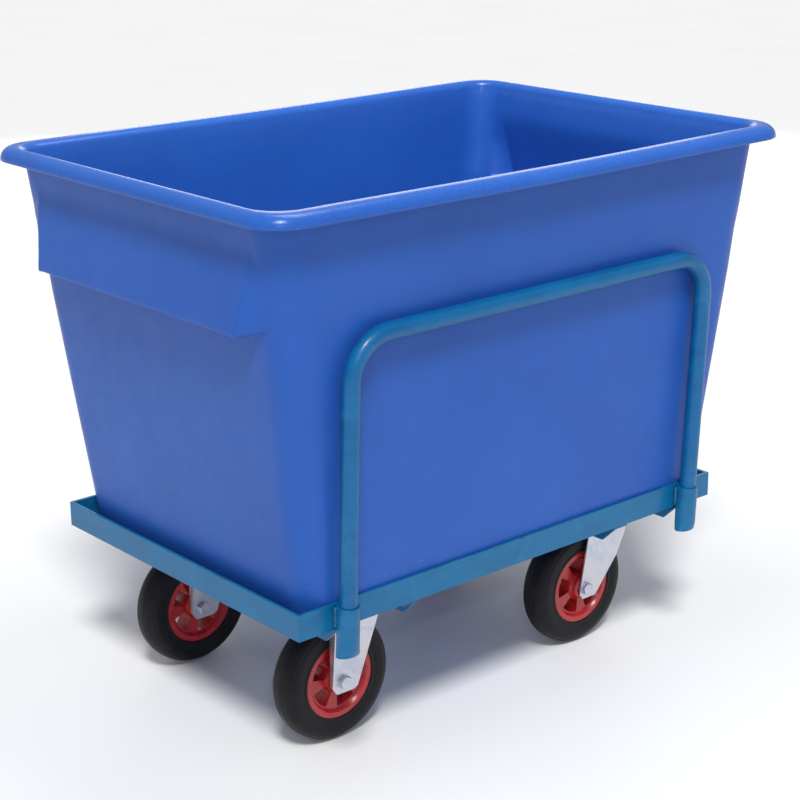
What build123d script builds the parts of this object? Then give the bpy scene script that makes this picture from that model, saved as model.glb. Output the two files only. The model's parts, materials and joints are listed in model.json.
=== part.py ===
from build123d import *
import math
import os

# Wheeled bin: a tapered moulded tub standing in a welded angle-iron frame on plate casters,
# with a tubular push hoop dropped into two sockets.
# Millimetres. The origin is on the floor, under the middle of the tub.
# +X runs along the bin towards the swivel casters, -Y is the side with the hoop, +Z is up.

# Frame: rolled angle with the upright leg outside and the flat leg turned in underneath
frame_length = 872.0
frame_width = 600.0
rail_leg = 40.0
rail_thickness = 5.0
rail_root_radius = 4.0
rail_toe_radius = 2.0

# Crossmembers: lighter angle laid under the rails, one pair over each pair of casters
crossmember_leg = 30.0
crossmember_thickness = 5.0
crossmember_setback = 4.0
crossmember_tip_setback = 30.0
crossmember_plate_gap = 1.5

# Caster stations
caster_height = 235.0
caster_end_distance = 148.0
caster_side_distance = 118.0
caster_trail = 54.0

# Top plates and the bolts that hold them to the crossmembers
plate_length = 140.0
plate_width = 110.0
plate_thickness = 4.0
plate_corner_radius = 8.0
bolt_pitch_along = 116.0
bolt_pitch_across = 84.0
bolt_diameter = 8.0
bolt_clearance = 0.25
bolt_head_diameter = 18.0
bolt_head_height = 4.2
bolt_head_bevel = 2.5
nut_across_flats = 13.0
nut_height = 6.5
thread_stand_out = 3.5

# Wheels
wheel_diameter = 200.0
tyre_width = 50.0
tyre_bore_diameter = 124.0
tyre_bead_width = 48.0
tyre_bead_height = 5.0
tyre_shoulder_width = 38.0
tyre_shoulder_diameter = 189.0
tyre_bulge_diameter = 160.0
tread_width = 16.0

# Wheel centres: a flat ring that carries the tyre, a dished web with windows and a long boss
centre_ring_width = 44.0
centre_ring_wall = 8.5
centre_dish_wall = 13.0
centre_web_thickness = 32.0
centre_boss_diameter = 39.0
centre_boss_length = 58.0
centre_boss_bevel = 2.0
centre_bore_diameter = 30.0
window_count = 5
window_inner_diameter = 48.0
window_outer_diameter = 94.0
window_sweep = 45.0
window_corner_radius = 2.0
window_turn_fixed = 147.0
window_turn_swivel = 171.0

# Roller bearings, sleeves and axle bolts
sleeve_diameter = 20.0
roller_count = 8
roller_clearance = 0.1
roller_cage_ring = 3.0
axle_diameter = 12.0
axle_clearance = 0.1
axle_head_across_flats = 19.0
axle_head_height = 8.0
axle_nut_height = 10.0
axle_stand_out = 3.0

# Forks, pressed from plate, with outlines given from the axle
fork_thickness = 3.0
fork_side_play = 1.0
fork_toe_drop = 18.0
fork_bend_radius = 5.0
fork_corner_radius = 6.0
fixed_fork_front = 24.0
fixed_fork_back = 68.0
fixed_fork_shoulder_height = 89.0
fixed_fork_toe_front = 14.0
fixed_fork_toe_back = 27.0
fixed_fork_lip_top = 15.0
fixed_fork_lip_toe = 3.0
swivel_fork_toe_front = 14.0
swivel_fork_toe_back = 23.0
swivel_fork_knee_out = 73.0
swivel_fork_knee_height = 41.0
swivel_fork_belly_out = 93.0
swivel_fork_belly_height = 80.0
swivel_fork_neck_drop = 30.0
swivel_fork_neck_in = 5.0
swivel_fork_heel_drop = 12.0

# Swivel heads
crown_radius = 45.0
crown_thickness = 4.0
crown_height = 218.0
race_inner_radius = 24.0
race_outer_radius = 43.0
race_depth = 6.6
ball_diameter = 6.0
ball_count = 16
ball_facet = 1.7
ball_ring_diameter = 72.0
ball_cage_width = 4.0
ball_cage_thickness = 1.5
kingpin_diameter = 14.0
kingpin_clearance = 0.1
kingpin_head_diameter = 24.0
kingpin_head_height = 3.5
kingpin_head_gap = 0.3

# Tub: sides that open upwards and a rolled rim. It stands against the near and right rails.
tub_left_gap = 18.0
tub_right_gap = 2.0
tub_near_gap = 1.5
tub_far_gap = 7.5
tub_end_flare = 68.5
tub_side_flare = 35.5
tub_wall_height = 555.0
tub_corner_radius = 48.0
tub_wall = 6.0
tub_floor_radius = 18.0
rim_end_reach = 29.5
rim_side_reach = 34.5
rim_rise = 29.0
rim_drop = 20.0
rim_corner_radius = 62.0
rim_outer_round = 19.0
rim_mouth_round = 12.0
rim_root_round = 6.5

# Moulded shoulders under the rim at both ends
shoulder_step = 3.0
shoulder_face_width = 484.0
shoulder_foot_width = 610.0
shoulder_drop = 155.0
shoulder_foot_rise = 18.0
shoulder_flank_depth = 35.0
shoulder_edge_radius = 5.0

# Push hoop and the sockets that hold it
hoop_diameter = 26.9
hoop_wall = 2.6
hoop_end_distance = 75.0
hoop_rise = 394.0
hoop_bend_radius = 65.0
hoop_lean = 2.5
socket_diameter = 33.7
socket_clearance = 0.3
socket_length = 76.0
socket_rail_gap = 0.05
socket_seat_depth = 60.0
socket_pinch_height = 12.0
socket_pinch_length = 40.0
socket_pinch_width = 25.0

# Places worked out from the sizes above
wheel_radius = wheel_diameter / 2
plate_bottom = caster_height - plate_thickness
rail_bottom = caster_height + crossmember_thickness
rail_floor = rail_bottom + rail_thickness
rail_top = rail_bottom + rail_leg
station_x = frame_length / 2 - caster_end_distance
station_y = frame_width / 2 - caster_side_distance
pair_half_width = plate_length / 2 + crossmember_plate_gap + crossmember_thickness
crossmember_bottom = rail_bottom - crossmember_leg
fork_inside = centre_boss_length / 2 + fork_side_play
fork_outside = fork_inside + fork_thickness
tub_base_length = frame_length - 2 * rail_thickness - tub_left_gap - tub_right_gap
tub_base_width = frame_width - 2 * rail_thickness - tub_near_gap - tub_far_gap
frame_x = (tub_right_gap - tub_left_gap) / 2
frame_y = (tub_far_gap - tub_near_gap) / 2
tub_top_height = rail_top + tub_wall_height
tub_top_length = tub_base_length + 2 * tub_end_flare
tub_top_width = tub_base_width + 2 * tub_side_flare
tub_slope_x = tub_end_flare / tub_wall_height
tub_slope_y = tub_side_flare / tub_wall_height
rim_length = tub_top_length + 2 * rim_end_reach
rim_width = tub_top_width + 2 * rim_side_reach
rim_top = tub_top_height + rim_rise
rim_bottom = rim_top - rim_drop
rim_inside_top = rim_top - tub_wall
shoulder_reach = tub_top_length / 2 - shoulder_step
shoulder_height = tub_top_height - shoulder_drop
leg_x = frame_length / 2 - hoop_end_distance
hoop_height = hoop_rise / math.cos(math.radians(hoop_lean))
lean_sine = math.sin(math.radians(hoop_lean))
lean_cosine = math.cos(math.radians(hoop_lean))

os.makedirs("parts", exist_ok=True)


def save(builder, name):
    """Label a finished piece and write it as its own file."""
    builder.part.label = name
    export_step(builder.part, "parts/" + name + ".step")


# Frame rails, mitred at the corners
def frame_rail(edge, length):
    """Build one rail on a plane whose X runs along the outer edge and whose Y points inwards."""
    section_plane = Plane(origin=edge.origin, x_dir=edge.y_dir, z_dir=edge.x_dir)
    with BuildPart() as rail:
        with BuildSketch(section_plane) as section:
            with BuildLine():
                Polyline(
                    (0, rail_bottom),
                    (rail_leg, rail_bottom),
                    (rail_leg, rail_floor),
                    (rail_thickness, rail_floor),
                    (rail_thickness, rail_top),
                    (0, rail_top),
                    close=True,
                )
            make_face()
            root = section.vertices().sort_by_distance((rail_thickness, rail_floor, 0))[0]
            fillet(root, rail_root_radius)
            toe = section.vertices().sort_by_distance((rail_leg, rail_floor, 0))[0]
            fillet(toe, rail_toe_radius)
        extrude(amount=length / 2, both=True)
        with BuildSketch(edge.offset(rail_bottom)):
            with BuildLine():
                Polyline(
                    (-length / 2, 0),
                    (length / 2, 0),
                    (length / 2 - rail_leg, rail_leg),
                    (rail_leg - length / 2, rail_leg),
                    close=True,
                )
            make_face()
        extrude(amount=rail_leg, mode=Mode.INTERSECT)
    return rail


near_y = frame_y - frame_width / 2
far_y = frame_y + frame_width / 2
left_x = frame_x - frame_length / 2
right_x = frame_x + frame_length / 2
near_edge = Plane(origin=(frame_x, near_y, 0), x_dir=(1, 0, 0), z_dir=(0, 0, 1))
far_edge = Plane(origin=(frame_x, far_y, 0), x_dir=(-1, 0, 0), z_dir=(0, 0, 1))
left_edge = Plane(origin=(left_x, frame_y, 0), x_dir=(0, -1, 0), z_dir=(0, 0, 1))
right_edge = Plane(origin=(right_x, frame_y, 0), x_dir=(0, 1, 0), z_dir=(0, 0, 1))

save(frame_rail(near_edge, frame_length), "near_side_rail")
save(frame_rail(far_edge, frame_length), "far_side_rail")
save(frame_rail(left_edge, frame_width), "left_end_rail")
save(frame_rail(right_edge, frame_width), "right_end_rail")


# Crossmembers, with their ends cut away underneath and holes for the plate bolts
def crossmember(outer_face, inward, plate_centre):
    """Build one bar with its upright leg at outer_face and its flat leg turned inwards."""
    with BuildPart() as bar:
        with BuildSketch(Plane(origin=(frame_x, frame_y, 0), x_dir=(1, 0, 0), z_dir=(0, -1, 0))):
            with BuildLine():
                Polyline(
                    (outer_face, rail_bottom),
                    (outer_face, crossmember_bottom),
                    (outer_face + inward * crossmember_thickness, crossmember_bottom),
                    (outer_face + inward * crossmember_thickness, caster_height),
                    (outer_face + inward * crossmember_leg, caster_height),
                    (outer_face + inward * crossmember_leg, rail_bottom),
                    close=True,
                )
            make_face()
        extrude(amount=frame_width / 2, both=True)
        top_end = frame_width / 2 - crossmember_setback
        bottom_end = frame_width / 2 - crossmember_tip_setback
        with BuildSketch(Plane(origin=(frame_x, frame_y, 0), x_dir=(0, 1, 0), z_dir=(1, 0, 0))):
            with BuildLine():
                Polyline(
                    (-top_end, rail_bottom),
                    (-top_end, caster_height),
                    (-bottom_end, crossmember_bottom),
                    (bottom_end, crossmember_bottom),
                    (top_end, caster_height),
                    (top_end, rail_bottom),
                    close=True,
                )
            make_face()
        extrude(amount=frame_length / 2, both=True, mode=Mode.INTERSECT)
        for side in (-1, 1):
            bolt_plane = Plane(
                origin=(frame_x + plate_centre, frame_y + side * station_y, caster_height)
            )
            with BuildSketch(bolt_plane):
                with GridLocations(bolt_pitch_along, bolt_pitch_across, 2, 2):
                    Circle(bolt_diameter / 2 + bolt_clearance)
            extrude(amount=crossmember_thickness, mode=Mode.SUBTRACT)
    return bar


save(crossmember(-station_x - pair_half_width, 1, -station_x), "left_outer_crossmember")
save(crossmember(-station_x + pair_half_width, -1, -station_x), "left_inner_crossmember")
save(crossmember(station_x - pair_half_width, 1, station_x), "right_inner_crossmember")
save(crossmember(station_x + pair_half_width, -1, station_x), "right_outer_crossmember")


# Tub shell
def tub_block(bottom, top, inset, floor_round):
    """Loft the tapered body of the tub between two heights, set in by the wall if asked."""
    with BuildPart() as block:
        for height in (bottom, top):
            half_length = tub_base_length / 2 + tub_slope_x * (height - rail_top) - inset
            half_width = tub_base_width / 2 + tub_slope_y * (height - rail_top) - inset
            with BuildSketch(Plane.XY.offset(height)):
                RectangleRounded(2 * half_length, 2 * half_width, tub_corner_radius - inset)
        loft(ruled=True)
        fillet(block.edges().group_by(Axis.Z)[0], floor_round)
    return block


def shoulder_block(side, inset):
    """Build the end shoulder, which has slanted flanks and a foot that rises towards them."""
    half_face = shoulder_face_width / 2
    half_foot = shoulder_foot_width / 2
    with BuildPart() as block:
        with BuildSketch():
            with BuildLine():
                Polyline(
                    (side * tub_base_length / 2, -half_foot),
                    (side * (shoulder_reach - shoulder_flank_depth), -half_foot),
                    (side * shoulder_reach, -half_face),
                    (side * shoulder_reach, half_face),
                    (side * (shoulder_reach - shoulder_flank_depth), half_foot),
                    (side * tub_base_length / 2, half_foot),
                    close=True,
                )
            make_face()
            if inset > 0:
                offset(amount=-inset, kind=Kind.INTERSECTION, mode=Mode.REPLACE)
        extrude(amount=rim_top)
        with BuildSketch(Plane.YZ):
            with BuildLine():
                Polyline(
                    (-half_foot, shoulder_height + shoulder_foot_rise),
                    (-half_face, shoulder_height),
                    (half_face, shoulder_height),
                    (half_foot, shoulder_height + shoulder_foot_rise),
                    (half_foot, tub_top_height),
                    (-half_foot, tub_top_height),
                    close=True,
                )
            make_face()
            if inset > 0:
                offset(amount=-inset, kind=Kind.INTERSECTION, mode=Mode.REPLACE)
        extrude(amount=rim_length / 2, both=True, mode=Mode.INTERSECT)
        if inset == 0:
            face_edges = block.faces().sort_by(Axis.X)[-1 if side > 0 else 0].edges()
            fillet(face_edges.sort_by(Axis.Z)[:-1], shoulder_edge_radius)
    return block


wall_block = tub_block(rail_floor, rim_top, 0, tub_floor_radius)
hollow_block = tub_block(rail_floor + tub_wall, rim_top, tub_wall, tub_floor_radius - tub_wall)
shoulder_blocks = [shoulder_block(side, 0) for side in (-1, 1)]
shoulder_hollows = [shoulder_block(side, tub_wall) for side in (-1, 1)]

with BuildPart() as rim_hollow:
    with BuildSketch(Plane.XY.offset(rim_bottom)):
        RectangleRounded(
            rim_length - 2 * tub_wall, rim_width - 2 * tub_wall, rim_corner_radius - tub_wall
        )
    extrude(amount=rim_inside_top - rim_bottom)
    fillet(rim_hollow.edges().group_by(Axis.Z)[-1], rim_outer_round - tub_wall)
    add(wall_block.part, mode=Mode.SUBTRACT)
    root_edges = rim_hollow.edges().filter_by(
        lambda edge: edge.bounding_box().min.Z > rim_inside_top - 0.1
        and edge.bounding_box().size.X < tub_top_length + rim_end_reach
        and edge.bounding_box().size.Y < tub_top_width + rim_side_reach
        and abs(edge.center().X) < tub_top_length / 2 + rim_end_reach / 2
        and abs(edge.center().Y) < tub_top_width / 2 + rim_side_reach / 2
    )
    fillet(root_edges, rim_root_round)

with BuildPart() as tub_shell:
    add(wall_block.part)
    with BuildSketch(Plane.XY.offset(rim_bottom)):
        RectangleRounded(rim_length, rim_width, rim_corner_radius)
    extrude(amount=rim_drop)
    top_edges = tub_shell.edges().group_by(Axis.Z)[-1]
    fillet(top_edges, rim_outer_round)
    add(rim_hollow.part, mode=Mode.SUBTRACT)
    for block in shoulder_blocks:
        add(block.part)
    add(hollow_block.part, mode=Mode.SUBTRACT)
    for block in shoulder_hollows:
        add(block.part, mode=Mode.SUBTRACT)
    mouth_half_length = tub_top_length / 2 + tub_slope_x * (rim_top - tub_top_height)
    mouth_half_width = tub_top_width / 2 + tub_slope_y * (rim_top - tub_top_height)
    mouth_edges = tub_shell.edges().filter_by(
        lambda edge: edge.bounding_box().min.Z > rim_top - 0.1
        and edge.bounding_box().max.X < mouth_half_length
        and edge.bounding_box().min.X > -mouth_half_length
        and edge.bounding_box().max.Y < mouth_half_width
        and edge.bounding_box().min.Y > -mouth_half_width
    )
    fillet(mouth_edges, rim_mouth_round)
save(tub_shell, "tub_shell")

# Push hoop and its sockets, leaning slightly outwards to follow the tub
socket_foot_y = near_y - socket_diameter / 2 - socket_rail_gap
socket_y = socket_foot_y - (rail_top - rail_bottom) * lean_sine / lean_cosine
hoop_plane = Plane(
    origin=(frame_x, socket_y, rail_top),
    x_dir=(1, 0, 0),
    z_dir=(0, -lean_cosine, -lean_sine),
)

with BuildPart() as handle_hoop:
    with BuildLine(hoop_plane) as hoop_path:
        FilletPolyline(
            (-leg_x, -socket_seat_depth),
            (-leg_x, hoop_height),
            (leg_x, hoop_height),
            (leg_x, -socket_seat_depth),
            radius=hoop_bend_radius,
        )
    with BuildSketch(Plane(origin=hoop_path.line @ 0, z_dir=hoop_path.line % 0)):
        Circle(hoop_diameter / 2)
        Circle(hoop_diameter / 2 - hoop_wall, mode=Mode.SUBTRACT)
    sweep(path=hoop_path.line)
save(handle_hoop, "handle_hoop")


def handle_socket(x):
    """Build a socket tube whose foot is pinched shut, with a seat for the end of the hoop."""
    mouth = hoop_plane.from_local_coords((x, 0, 0))
    mouth_plane = Plane(origin=mouth, x_dir=(1, 0, 0), z_dir=(0, -lean_sine, lean_cosine))
    with BuildPart() as socket:
        with BuildSketch(mouth_plane):
            Circle(socket_diameter / 2)
        extrude(amount=socket_pinch_height - socket_length)
        with BuildSketch(mouth_plane.offset(socket_pinch_height - socket_length)):
            Circle(socket_diameter / 2)
        with BuildSketch(mouth_plane.offset(-socket_length)):
            Ellipse(socket_pinch_length / 2, socket_pinch_width / 2)
        loft()
        with BuildSketch(mouth_plane):
            Circle(hoop_diameter / 2 + socket_clearance)
        extrude(amount=-socket_seat_depth, mode=Mode.SUBTRACT)
    return socket


save(handle_socket(-leg_x), "left_handle_socket")
save(handle_socket(leg_x), "right_handle_socket")


# Pieces shared by all four casters
def top_plate(x, y, swivel):
    """Build the plate bolted under the crossmembers, with the upper race on a swivel one."""
    with BuildPart() as plate:
        with BuildSketch(Plane(origin=(x, y, plate_bottom))):
            RectangleRounded(plate_length, plate_width, plate_corner_radius)
            with GridLocations(bolt_pitch_along, bolt_pitch_across, 2, 2):
                Circle(bolt_diameter / 2 + bolt_clearance, mode=Mode.SUBTRACT)
        extrude(amount=plate_thickness)
        if swivel:
            with BuildSketch(Plane(origin=(x, y, plate_bottom - race_depth))):
                Circle(race_outer_radius)
                Circle(race_inner_radius, mode=Mode.SUBTRACT)
            extrude(amount=race_depth)
            with BuildSketch(Plane(origin=(x, y, plate_bottom))):
                Circle(kingpin_diameter / 2 + kingpin_clearance)
            extrude(amount=plate_thickness, mode=Mode.SUBTRACT)
    return plate


def plate_bolts(x, y):
    """Build four cup-head bolts with their nuts underneath."""
    nut_bottom = plate_bottom - nut_height
    with BuildPart() as bolts:
        with BuildSketch(Plane(origin=(x, y, rail_bottom))):
            with GridLocations(bolt_pitch_along, bolt_pitch_across, 2, 2):
                Circle(bolt_head_diameter / 2)
        extrude(amount=bolt_head_height)
        chamfer(bolts.edges().group_by(Axis.Z)[-1], bolt_head_bevel)
        with BuildSketch(Plane(origin=(x, y, nut_bottom - thread_stand_out))):
            with GridLocations(bolt_pitch_along, bolt_pitch_across, 2, 2):
                Circle(bolt_diameter / 2)
        extrude(amount=rail_bottom - nut_bottom + thread_stand_out)
        with BuildSketch(Plane(origin=(x, y, nut_bottom))):
            with GridLocations(bolt_pitch_along, bolt_pitch_across, 2, 2):
                RegularPolygon(nut_across_flats / 2, 6, major_radius=False)
        extrude(amount=nut_height)
    return bolts


def wheel_section(x, y):
    """Give the plane whose X runs along the axle and whose Y points up from its middle."""
    return Plane(origin=(x, y, wheel_radius), x_dir=(0, 1, 0), z_dir=(1, 0, 0))


def wheel_face(x, y, along):
    """Give a plane square to the axle, moved along it from the middle of the wheel."""
    return Plane(origin=(x, y + along, wheel_radius), x_dir=(1, 0, 0), z_dir=(0, 1, 0))


def side_section(x, y):
    """Give the upright plane along the bin through the axle, with Y up."""
    return Plane(origin=(x, y, wheel_radius), x_dir=(1, 0, 0), z_dir=(0, -1, 0))


def tyre(x, y):
    """Turn the rubber tyre: bead ring, bulged sidewall, sloping shoulder and flat tread."""
    bore = tyre_bore_diameter / 2
    half_profile = [
        (centre_ring_width / 2, bore),
        (tyre_bead_width / 2, bore + (tyre_bead_width - centre_ring_width) / 2),
        (tyre_bead_width / 2, bore + tyre_bead_height),
        (tyre_width / 2, tyre_bulge_diameter / 2),
        (tyre_shoulder_width / 2, tyre_shoulder_diameter / 2),
        (tread_width / 2, wheel_radius),
    ]
    mirrored = [(-along, radius) for along, radius in reversed(half_profile)]
    with BuildPart() as rubber:
        with BuildSketch(wheel_section(x, y)):
            with BuildLine():
                Polyline(*half_profile, *mirrored, close=True)
            make_face()
        revolve(axis=Axis((x, y, wheel_radius), (0, 1, 0)))
    return rubber


def wheel_centre(x, y, turn):
    """Turn the dished centre, then cut a ring of windows that starts at the angle given."""
    ring = tyre_bore_diameter / 2
    half_profile = [
        (centre_boss_length / 2, centre_bore_diameter / 2),
        (centre_boss_length / 2, centre_boss_diameter / 2 - centre_boss_bevel),
        (centre_boss_length / 2 - centre_boss_bevel, centre_boss_diameter / 2),
        (centre_ring_width / 2, centre_boss_diameter / 2 + centre_boss_bevel / 2),
        (centre_web_thickness / 2, window_inner_diameter / 2),
        (centre_web_thickness / 2, ring - centre_dish_wall),
        (centre_ring_width / 2, ring - centre_ring_wall),
        (centre_ring_width / 2, ring),
    ]
    mirrored = [(-along, radius) for along, radius in reversed(half_profile)]
    reach = window_outer_diameter
    spread = math.radians(window_sweep / 2)
    with BuildPart() as centre:
        with BuildSketch(wheel_section(x, y)):
            with BuildLine():
                Polyline(*half_profile, *mirrored, close=True)
            make_face()
        revolve(axis=Axis((x, y, wheel_radius), (0, 1, 0)))
        with BuildSketch(side_section(x, y)) as windows:
            with PolarLocations(0, window_count, start_angle=turn):
                Polygon(
                    (0, 0),
                    (reach * math.cos(spread), -reach * math.sin(spread)),
                    (reach * math.cos(spread), reach * math.sin(spread)),
                    align=None,
                )
            Circle(window_outer_diameter / 2, mode=Mode.INTERSECT)
            Circle(window_inner_diameter / 2, mode=Mode.SUBTRACT)
            fillet(windows.vertices(), window_corner_radius)
        extrude(amount=centre_ring_width / 2, both=True, mode=Mode.SUBTRACT)
    return centre


def roller_bearing(x, y):
    """Build the rollers with their two cage rings, running between the sleeve and the boss."""
    roller_diameter = (centre_bore_diameter - sleeve_diameter) / 2 - 2 * roller_clearance
    pitch_radius = (centre_bore_diameter + sleeve_diameter) / 4
    ring_inner = pitch_radius - roller_diameter / 2 + 0.4
    ring_outer = pitch_radius + roller_diameter / 2 - 0.4
    end = centre_boss_length / 2 - 2
    with BuildPart() as bearing:
        with BuildSketch(wheel_face(x, y, 0)):
            with PolarLocations(pitch_radius, roller_count):
                Circle(roller_diameter / 2)
        extrude(amount=end, both=True)
        for along in (-end, end - roller_cage_ring):
            with BuildSketch(wheel_face(x, y, along)):
                Circle(ring_outer)
                Circle(ring_inner, mode=Mode.SUBTRACT)
            extrude(amount=roller_cage_ring)
    return bearing


def bearing_sleeve(x, y):
    """Build the hard sleeve clamped between the fork plates."""
    with BuildPart() as sleeve:
        with BuildSketch(wheel_face(x, y, 0)):
            Circle(sleeve_diameter / 2)
            Circle(axle_diameter / 2 + axle_clearance, mode=Mode.SUBTRACT)
        extrude(amount=fork_inside, both=True)
    return sleeve


def axle_bolt(x, y):
    """Build the bolt with its head outside the fork on the -Y side."""
    with BuildPart() as bolt:
        with BuildSketch(wheel_face(x, y, -fork_outside)):
            Circle(axle_diameter / 2)
        extrude(amount=2 * fork_outside + axle_nut_height + axle_stand_out)
        with BuildSketch(wheel_face(x, y, -fork_outside - axle_head_height)):
            RegularPolygon(axle_head_across_flats / 2, 6, major_radius=False, rotation=20)
        extrude(amount=axle_head_height)
        chamfer(bolt.edges().group_by(Axis.Y)[0], 0.8)
    return bolt


def axle_nut(x, y):
    """Build the locking nut on the +Y side."""
    with BuildPart() as nut:
        with BuildSketch(wheel_face(x, y, fork_outside)):
            RegularPolygon(axle_head_across_flats / 2, 6, major_radius=False)
            Circle(axle_diameter / 2 + axle_clearance, mode=Mode.SUBTRACT)
        extrude(amount=axle_nut_height)
    return nut


# Fixed forks: an upside-down U under the top plate, with a lip on the front edge
def fixed_fork(x, y):
    """Build the fork around its axle, with the outline given from the axle."""
    top = plate_bottom - wheel_radius
    front_plane = Plane(
        origin=(x - fixed_fork_front, y, wheel_radius), x_dir=(0, 1, 0), z_dir=(1, 0, 0)
    )
    with BuildPart() as fork:
        with BuildSketch(side_section(x, y)) as outline:
            with BuildLine():
                Polyline(
                    (-fixed_fork_front, top),
                    (-fixed_fork_front, -3),
                    (-fixed_fork_toe_front, -fork_toe_drop),
                    (fixed_fork_toe_back - 7, -fork_toe_drop),
                    (fixed_fork_toe_back, -fork_toe_drop + 4),
                    (fixed_fork_back, fixed_fork_shoulder_height),
                    (fixed_fork_back, top),
                    close=True,
                )
            make_face()
            fillet(outline.vertices().group_by(Axis.Y)[0], fork_corner_radius)
        extrude(amount=fork_outside, both=True)
        with BuildSketch(side_section(x, y)):
            with Locations((0, top - fork_thickness)):
                Rectangle(
                    3 * fixed_fork_back, 2 * top, align=(Align.CENTER, Align.MAX)
                )
        extrude(amount=fork_inside, both=True, mode=Mode.SUBTRACT)
        fillet(fork.edges().filter_by(Axis.X).group_by(Axis.Z)[-1], fork_bend_radius)
        for side in (-1, 1):
            with BuildSketch(front_plane):
                with BuildLine():
                    Polyline(
                        (side * fork_inside, -3),
                        (side * (fork_outside + fixed_fork_lip_toe), -3),
                        (side * (fork_outside + fixed_fork_lip_top), top),
                        (side * fork_inside, top),
                        close=True,
                    )
                make_face()
            extrude(amount=fork_thickness)
        with BuildSketch(wheel_face(x, y, 0)):
            Circle(axle_diameter / 2 + axle_clearance)
        extrude(amount=2 * fork_outside, both=True, mode=Mode.SUBTRACT)
    return fork


# Swivel forks: two plates hung from a round crown, with the axle behind the kingpin
def swivel_fork(x, y):
    """Build the fork around its axle, with the outline given from the axle."""
    top = crown_height - wheel_radius
    with BuildPart() as fork:
        with BuildSketch(side_section(x, y)):
            with BuildLine():
                Polyline(
                    (-swivel_fork_toe_front, -fork_toe_drop / 2),
                    (-swivel_fork_toe_front / 2, -fork_toe_drop),
                    (swivel_fork_toe_back, -fork_toe_drop),
                    (swivel_fork_knee_out, swivel_fork_knee_height),
                    (swivel_fork_belly_out, swivel_fork_belly_height),
                    (caster_trail + crown_radius, top - swivel_fork_heel_drop),
                    (caster_trail + crown_radius, top),
                    (caster_trail - crown_radius, top),
                    (
                        caster_trail - crown_radius - swivel_fork_neck_in,
                        top - swivel_fork_neck_drop,
                    ),
                    close=True,
                )
            make_face()
        extrude(amount=fork_outside, both=True)
        with BuildSketch(side_section(x, y)):
            with Locations((0, top - crown_thickness)):
                Rectangle(
                    4 * caster_trail + 4 * crown_radius,
                    2 * top,
                    align=(Align.CENTER, Align.MAX),
                )
        extrude(amount=fork_inside, both=True, mode=Mode.SUBTRACT)
        fillet(fork.edges().filter_by(Axis.X).group_by(Axis.Z)[-1], fork_bend_radius)
        with BuildSketch(Plane(origin=(x + caster_trail, y, crown_height - crown_thickness))):
            Circle(crown_radius)
        extrude(amount=crown_thickness)
        with BuildSketch(Plane(origin=(x + caster_trail, y, crown_height - crown_thickness))):
            Circle(kingpin_diameter / 2 + kingpin_clearance)
        extrude(amount=crown_thickness, mode=Mode.SUBTRACT)
        with BuildSketch(wheel_face(x, y, 0)):
            Circle(axle_diameter / 2 + axle_clearance)
        extrude(amount=2 * fork_outside, both=True, mode=Mode.SUBTRACT)
    return fork


with BuildPart() as ball_blank:
    Box(ball_diameter, ball_diameter, ball_diameter)
    chamfer(ball_blank.edges(), ball_facet)
ball = ball_blank.part


def ball_ring(x, y):
    """Build the swivel balls in their cage, between the crown and the upper race."""
    centre_height = (crown_height + plate_bottom - race_depth) / 2
    with BuildPart() as balls:
        with BuildSketch(Plane(origin=(x, y, centre_height - ball_cage_thickness / 2))):
            Circle((ball_ring_diameter + ball_cage_width) / 2)
            Circle((ball_ring_diameter - ball_cage_width) / 2, mode=Mode.SUBTRACT)
        extrude(amount=ball_cage_thickness)
        with Locations((x, y, centre_height)):
            with PolarLocations(ball_ring_diameter / 2, ball_count):
                add(ball)
    return balls


def kingpin(x, y):
    """Build the headed pin that holds the crown under the top plate."""
    foot = crown_height - crown_thickness - kingpin_head_gap - kingpin_head_height
    with BuildPart() as pin:
        with BuildSketch(Plane(origin=(x, y, foot))):
            Circle(kingpin_diameter / 2)
        extrude(amount=caster_height - foot)
        for height in (foot, caster_height):
            with BuildSketch(Plane(origin=(x, y, height))):
                Circle(kingpin_head_diameter / 2)
            extrude(amount=kingpin_head_height)
        chamfer(pin.edges().group_by(Axis.Z)[-1], 1)
    return pin


# The four casters: fixed on the left, swivelling on the right
for side_name, side in (("near", -1), ("far", 1)):
    across = frame_y + side * station_y
    for kind, along in (("fixed", frame_x - station_x), ("swivel", frame_x + station_x)):
        name = side_name + "_" + kind
        axle_x = along - caster_trail if kind == "swivel" else along
        turn = window_turn_swivel if kind == "swivel" else window_turn_fixed
        save(top_plate(along, across, kind == "swivel"), name + "_top_plate")
        save(plate_bolts(along, across), name + "_plate_bolts")
        save(tyre(axle_x, across), name + "_tyre")
        save(wheel_centre(axle_x, across, turn), name + "_wheel_centre")
        save(roller_bearing(axle_x, across), name + "_roller_bearing")
        save(bearing_sleeve(axle_x, across), name + "_bearing_sleeve")
        save(axle_bolt(axle_x, across), name + "_axle_bolt")
        save(axle_nut(axle_x, across), name + "_axle_nut")
        if kind == "swivel":
            save(swivel_fork(axle_x, across), name + "_fork")
            save(ball_ring(along, across), name + "_ball_ring")
            save(kingpin(along, across), name + "_kingpin")
        else:
            save(fixed_fork(axle_x, across), name + "_fork")
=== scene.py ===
"""Looks of the wheeled bin: the moulded tub, the welded frame, the push hoop and the casters."""

import json
import math

import bmesh
import bpy
from mathutils import Matrix, Vector, noise

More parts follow.
